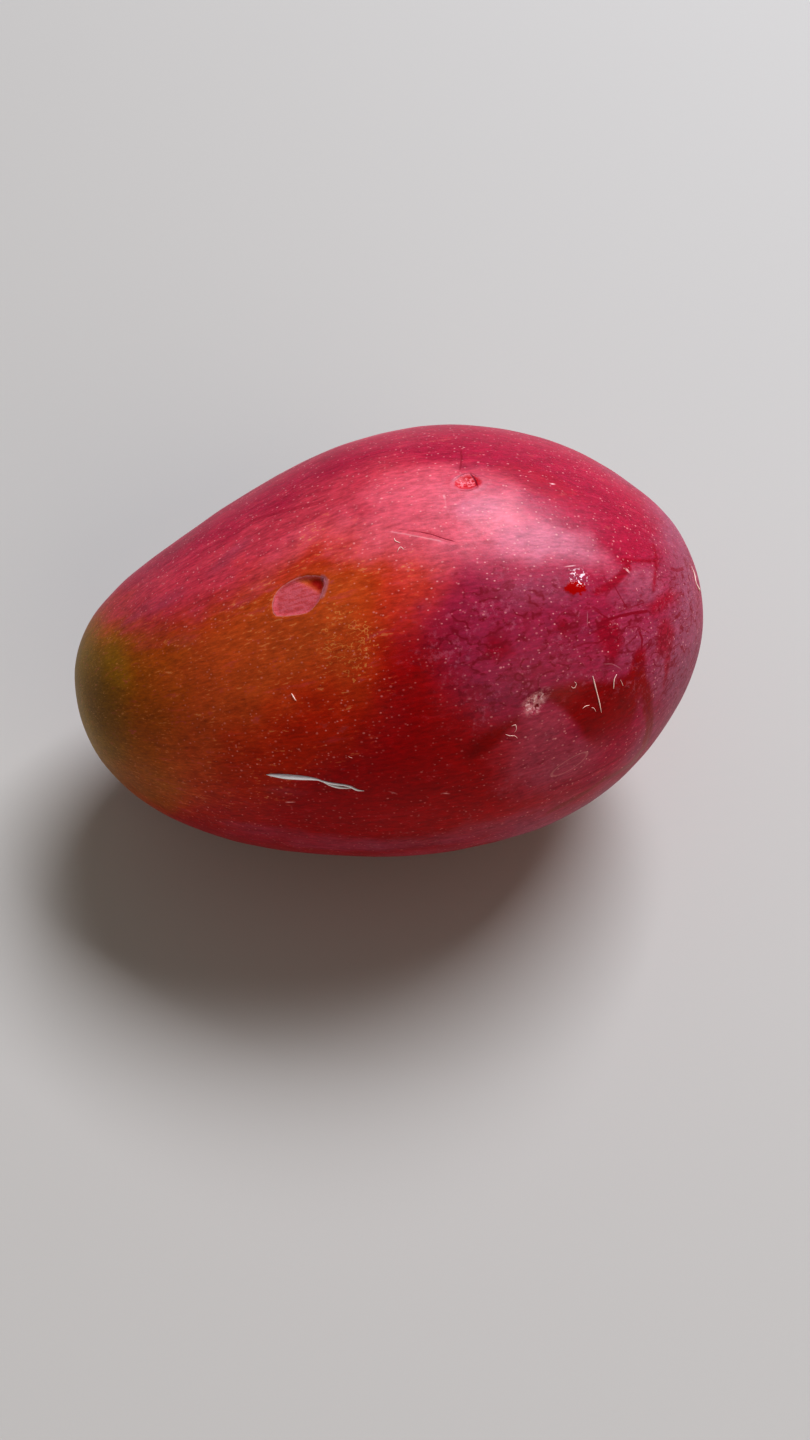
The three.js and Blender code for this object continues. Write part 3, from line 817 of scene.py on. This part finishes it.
# mango skin: smooth and waxy, matt where its bloom is left and glossy where that is rubbed away
def makeSkinMaterial():
    material, tree = newMaterial("waxyMangoSkin")

    # noises on the straightened fruit, so that long ones run from tip to stem
    straight = addNode(tree, "Attribute", output="Vector", attribute_name="straight")
    patterns = {}
    for index, (name, pattern) in enumerate(skinPatterns.items()):
        width, length = (1 / (size * millimetre) for size in pattern["size"])
        moved = addNode(tree, "Mapping", {
            "Vector": straight, "Location": (7.3 * index, 0, 0), "Scale": (length, width, width)})
        patterns[name] = addNode(tree, "TexNoise", {
            "Vector": moved, "Scale": 1.0, "Detail": pattern["detail"], "Roughness": pattern["rough"]})

    # zones, torn at their borders
    look = {"colour": linearColour(skinFinish["base"]), "rough": skinFinish["roughness"],
            "coarse": 1.0, "proud": 0.0}
    masks = {}
    for name, zone in zones.items():
        torn = zone["edge"][2]
        masks[name] = addMask(tree, patterns, masks, {
            "field": name, "sway": (zone.get("pattern", "grain"), torn),
            "edges": (0.1 * torn, 1 - 0.1 * torn), "strength": zone.get("strength", 1.0), "ease": "LINEAR"})
        layOver(tree, look, masks[name], zone)

    # lengthwise streaks and mottling: the colour times 1 + sum of amount * (pattern - 0.5)
    factor = 1 - 0.5 * sum(skinFinish["mottling"].values())
    for name, amount in skinFinish["mottling"].items():
        factor = addNode(tree, "Math", {0: patterns[name], 1: amount, 2: factor}, operation="MULTIPLY_ADD")
    look["colour"] = addNode(tree, "VectorMath", {0: look["colour"], "Scale": factor}, operation="SCALE")

    # lenticels: dots at the points of two cell patterns, each dot with a strength of its own
    place = addNode(tree, "TexCoord", output="Object")
    hushed = [addNode(tree, "MapRange", {"Value": masks[name], "To Min": 1.0, "To Max": share})
              for name, share in skinFinish["hushed"].items()]
    for spacing, reach, strength in skinFinish["lenticels"]:
        moved = addNode(tree, "Mapping", {
            "Vector": place, "Scale": [1 / (spacing * stretch * millimetre) for stretch in (1.33, 1, 1)]})
        distance = addNode(tree, "TexVoronoi", {"Vector": moved, "Scale": 1.0})
        chance = addNode(tree, "SeparateColor", {0: distance.node.outputs["Color"]})
        dot = addNode(tree, "MapRange", {"Value": distance, "From Min": reach, "From Max": 0.35 * reach},
                      interpolation_type="SMOOTHSTEP")
        kept = addNode(tree, "MapRange", {"Value": chance, "From Min": 0.15, "To Max": strength})
        for other in (kept, *hushed):
            dot = addNode(tree, "Math", {0: dot, 1: other}, operation="MULTIPLY")
        layOver(tree, look, dot, skinFinish["lenticel"])

    # marks
    for name, layer in skinLayers.items():
        masks[name] = addMask(tree, patterns, masks, layer)
        layOver(tree, look, masks[name], layer)

    # relief and shine
    height = addNode(tree, "Math", {0: patterns["fine"], 1: look["coarse"], 2: look["proud"]},
                     operation="MULTIPLY_ADD")
    relief = addNode(tree, "Bump", {"Height": height, "Distance": skinFinish["reliefDepth"]})
    shader = addNode(tree, "BsdfPrincipled", {
        "Base Color": look["colour"], "Roughness": look["rough"], "IOR": skinFinish["ior"], "Normal": relief,
        "Subsurface Weight": skinFinish["subsurface"], "Subsurface Radius": skinFinish["subsurfaceRadius"],
        "Subsurface Scale": skinFinish["subsurfaceScale"]})
    addNode(tree, "OutputMaterial", {"Surface": shader})
    return material


mangoSkin.data.materials.append(makeSkinMaterial())
print("skin finished")

# dry bits that stick to the skin: places of the photo with a half width in pixels of the photo
husk = {
    "strands": [
        [(266, 774.6, 0.2), (272, 774.6, 1.1), (285, 775.6, 1.9), (300, 777, 1.8), (311, 778.4, 1.3),
         (318, 780, 0.7), (323, 781.5, 0.4)],
        [(315, 779, 0.6), (324, 782, 0.8), (334, 784.2, 0.9), (344, 785.6, 0.8), (351, 787.5, 0.9),
         (357, 790.5, 0.8), (364, 791.8, 0.2)],
        [(322, 781.5, 0.5), (330, 785, 1.0), (338, 787.2, 1.1), (346, 788.6, 0.7), (351, 789.4, 0.2)],
    ],
    "bulge": 0.3,      # height over half width
    "lift": 0.75,      # how far the near edge curls up, over half width
    "sides": 8,
    "perPixel": 0.5,
}
fibres = {
    "strands": [
        [(593, 676, 0.3), (595, 684, 0.75), (597.5, 693, 0.6), (600, 703, 0.7), (602, 713, 0.25)],
        [(617, 674.5, 0.3), (614.5, 680, 0.6), (614, 689, 0.5)], [(621, 680, 0.2), (623.5, 686, 0.35)],
        [(572, 687, 0.2), (575, 688.5, 0.4), (577, 684, 0.3), (575, 682, 0.2)],
        [(583, 709, 0.2), (586, 706.5, 0.45), (590, 705.5, 0.25)],
        [(592, 708, 0.2), (594.5, 708.5, 0.3), (596.5, 712, 0.2)],
        [(506, 735, 0.2), (510, 736.5, 0.4), (515, 736.5, 0.3), (518, 739, 0.2)],
        [(512, 727, 0.2), (516, 725.5, 0.45), (517, 730, 0.25), (515, 733, 0.2)],
        [(291, 693.5, 0.3), (293, 697, 0.8), (295.5, 701, 0.3)],
        [(693, 566, 0.3), (695.5, 574, 0.9), (697, 583, 0.8), (700, 590, 1.3)],
        [(394, 537, 0.2), (395, 540, 0.5), (400, 542, 0.3)],
        [(397, 551, 0.2), (400, 546, 0.4), (404, 549, 0.2)], [(348, 757, 0.2), (352, 758.5, 0.4)]],
    "bulge": 0.8, "lift": 0.0, "sides": 6, "perPixel": 0.6,
}


# a smooth curve through points: each step mixes four neighbours by cubic weights
def smoothCurve(points, steps):
    padded = np.concatenate([[2 * points[0] - points[1]], points, [2 * points[-1] - points[-2]]])
    at = np.linspace(0, len(points) - 1, steps)
    start = np.minimum(at.astype(int), len(points) - 2)
    t = (at - start)[:, None]
    p0, p1, p2, p3 = (padded[start + k] for k in range(4))
    return 0.5 * (2 * p1 + (p2 - p0) * t + (2 * p0 - 5 * p1 + 4 * p2 - p3) * t ** 2
                  + (3 * p1 - p0 - 3 * p2 + p3) * t ** 3)


# flat tubes along the strands, ends closed: centre + width * (across * cos + outward * height), where
# height is bulge * (sin + 0.45) + lift * (1 - cos)
def makeStrands(name, style, material):
    allPoints, allFaces, allShares, count = [], [], [], 0
    sides, thinnest = style["sides"], 0.12
    turn = np.linspace(0, 2 * math.pi, sides, endpoint=False)
    for strand in style["strands"]:
        knots = np.array(strand, dtype=float)
        length = np.linalg.norm(np.diff(knots[:, :2], axis=0), axis=1).sum()
        curve = smoothCurve(knots, max(int(length * style["perPixel"]), 6))
        spots = [onSkin(*spotAt(x, y)) for x, y, _ in curve]
        centre = np.array([point for point, _ in spots])
        outward = np.array([normal for _, normal in spots])
        ahead = np.gradient(centre, axis=0)
        ahead /= np.linalg.norm(ahead, axis=1, keepdims=True)
        across = np.cross(outward, ahead)
        width = np.maximum(curve[:, 2], thinnest)[:, None, None] / view["pixelsPerMillimetre"] * millimetre
        sideways = np.cos(turn)[None, :, None]
        height = style["bulge"] * (np.sin(turn)[None, :, None] + 0.45) + style["lift"] * (1 - sideways)
        ring = centre[:, None] + width * (across[:, None] * sideways + outward[:, None] * height)
        steps = len(centre)
        start, side = np.meshgrid(np.arange(steps - 1), np.arange(sides), indexing="ij")
        nextSide = (side + 1) % sides
        quads = np.stack([start * sides + side, start * sides + nextSide,
                          (start + 1) * sides + nextSide, (start + 1) * sides + side], axis=-1)
        allFaces += (quads.reshape(-1, 4) + count)[:, ::-1].tolist()
        allFaces += [(np.arange(sides) + count).tolist(),
                     (np.arange(sides)[::-1] + count + (steps - 1) * sides).tolist()]
        allPoints.append(ring.reshape(-1, 3))
        allShares.append(np.tile(np.cos(turn), steps))
        count += steps * sides
    piece = addPiece(name, np.concatenate(allPoints), allFaces, {"acrossShare": np.concatenate(allShares)})
    piece.data.materials.append(material)


# dry husk: papery and dull, white on its near half, with painted shade greying the half that curls away
def makeHuskMaterial():
    material, tree = newMaterial("dryHusk")
    place = addNode(tree, "TexCoord", output="Object")
    moved = addNode(tree, "Mapping", {
        "Vector": place, "Scale": [1 / (size * millimetre) for size in (2.7, 0.4, 0.4)]})
    lines = addNode(tree, "TexNoise", {"Vector": moved, "Scale": 1.0, "Detail": 2.0})
    share = addNode(tree, "Attribute", output="Fac", attribute_name="acrossShare")
    mixed = addNode(tree, "Math", {0: share, 1: lines}, operation="ADD")
    # painted shade: the share across the strand greys the half that curls away
    curlShade = addNode(tree, "MapRange", {"Value": mixed, "From Min": 0.1, "From Max": 1.1})
    colour = addNode(tree, "Mix", {0: curlShade, 6: "#fffaf6", 7: "#a89c98"}, output=2, data_type="RGBA")
    shader = addNode(tree, "BsdfPrincipled", {"Base Color": colour, "Roughness": 0.7})
    addNode(tree, "OutputMaterial", {"Surface": shader})
    return material


# dry fibre: pale straw, dull
def makeFibreMaterial():
    material, tree = newMaterial("dryFibre")
    place = addNode(tree, "TexCoord", output="Object")
    spots = addNode(tree, "TexNoise", {"Vector": place, "Scale": 1 / (0.7 * millimetre)})
    colour = addNode(tree, "Mix", {0: spots, 6: "#ffe6d8", 7: "#ffd2be"}, output=2, data_type="RGBA")
    shader = addNode(tree, "BsdfPrincipled", {"Base Color": colour, "Roughness": 0.65})
    addNode(tree, "OutputMaterial", {"Surface": shader})
    return material


makeStrands("drySliver", husk, makeHuskMaterial())
makeStrands("dryFibres", fibres, makeFibreMaterial())
print("dry bits laid on")

# a plain pale floor, one broad soft lamp behind and to the right, and a weak fill from the front left
studio = {
    "floorColour": "#c0b9ae",
    "floorReach": 4.0,
    "sky": "#e6e9f0",
    "skyStrength": 0.2,
    "skySeen": 0.42,
    "keyPlace": (1.25, 1.42, 2.5),
    "keySize": (1.9, 1.05),
    "keyPower": 96.0,
    "keyColour": "#e6eeff",
    "fillPlace": (1.25, -2.2, 1.5),
    "fillSize": (2.0, 1.5),
    "fillPower": 13.5,
    "fillColour": "#fff4e8",
}


def makeFloor():
    reach = studio["floorReach"]
    mesh = bpy.data.meshes.new("floor")
    mesh.from_pydata([(-reach, -reach, 0), (reach, -reach, 0), (reach, reach, 0), (-reach, reach, 0)], [],
                     [(0, 1, 2, 3)])
    floor = bpy.data.objects.new("floor", mesh)
    bpy.context.collection.objects.link(floor)
    material = bpy.data.materials.new("palePaper")
    material.use_nodes = True
    shader = material.node_tree.nodes["Principled BSDF"]
    shader.inputs["Base Color"].default_value = linearColour(studio["floorColour"])
    shader.inputs["Roughness"].default_value = 0.7
    mesh.materials.append(material)


def makeLamp(name, place, size, power, colour):
    data = bpy.data.lights.new(name, "AREA")
    data.shape = "RECTANGLE"
    data.size, data.size_y = size
    data.energy = power
    data.color = linearColour(colour)[:3]
    lamp = bpy.data.objects.new(name, data)
    lamp.location = place
    lamp.rotation_euler = (Vector((0, 0, 0.04)) - Vector(place)).to_track_quat("-Z", "Y").to_euler()
    lamp.visible_camera = False
    bpy.context.collection.objects.link(lamp)


# a weak even sky, shown paler than it shines so that the floor meets a pale horizon
def makeSky():
    world = bpy.data.worlds.new("sky")
    world.use_nodes = True
    tree = world.node_tree
    tree.nodes.clear()
    seen = addNode(tree, "LightPath", output="Is Camera Ray")
    strength = addNode(tree, "MapRange", {
        "Value": seen, "To Min": studio["skyStrength"], "To Max": studio["skySeen"]})
    background = addNode(tree, "Background", {"Color": studio["sky"], "Strength": strength})
    addNode(tree, "OutputWorld", {"Surface": background})
    bpy.context.scene.world = world


makeFloor()
makeLamp("key", studio["keyPlace"], studio["keySize"], studio["keyPower"], studio["keyColour"])
makeLamp("fill", studio["fillPlace"], studio["fillSize"], studio["fillPower"], studio["fillColour"])
makeSky()
bpy.context.scene.view_settings.view_transform = "Standard"
bpy.context.scene.view_settings.look = "High Contrast"
print("studio lit")
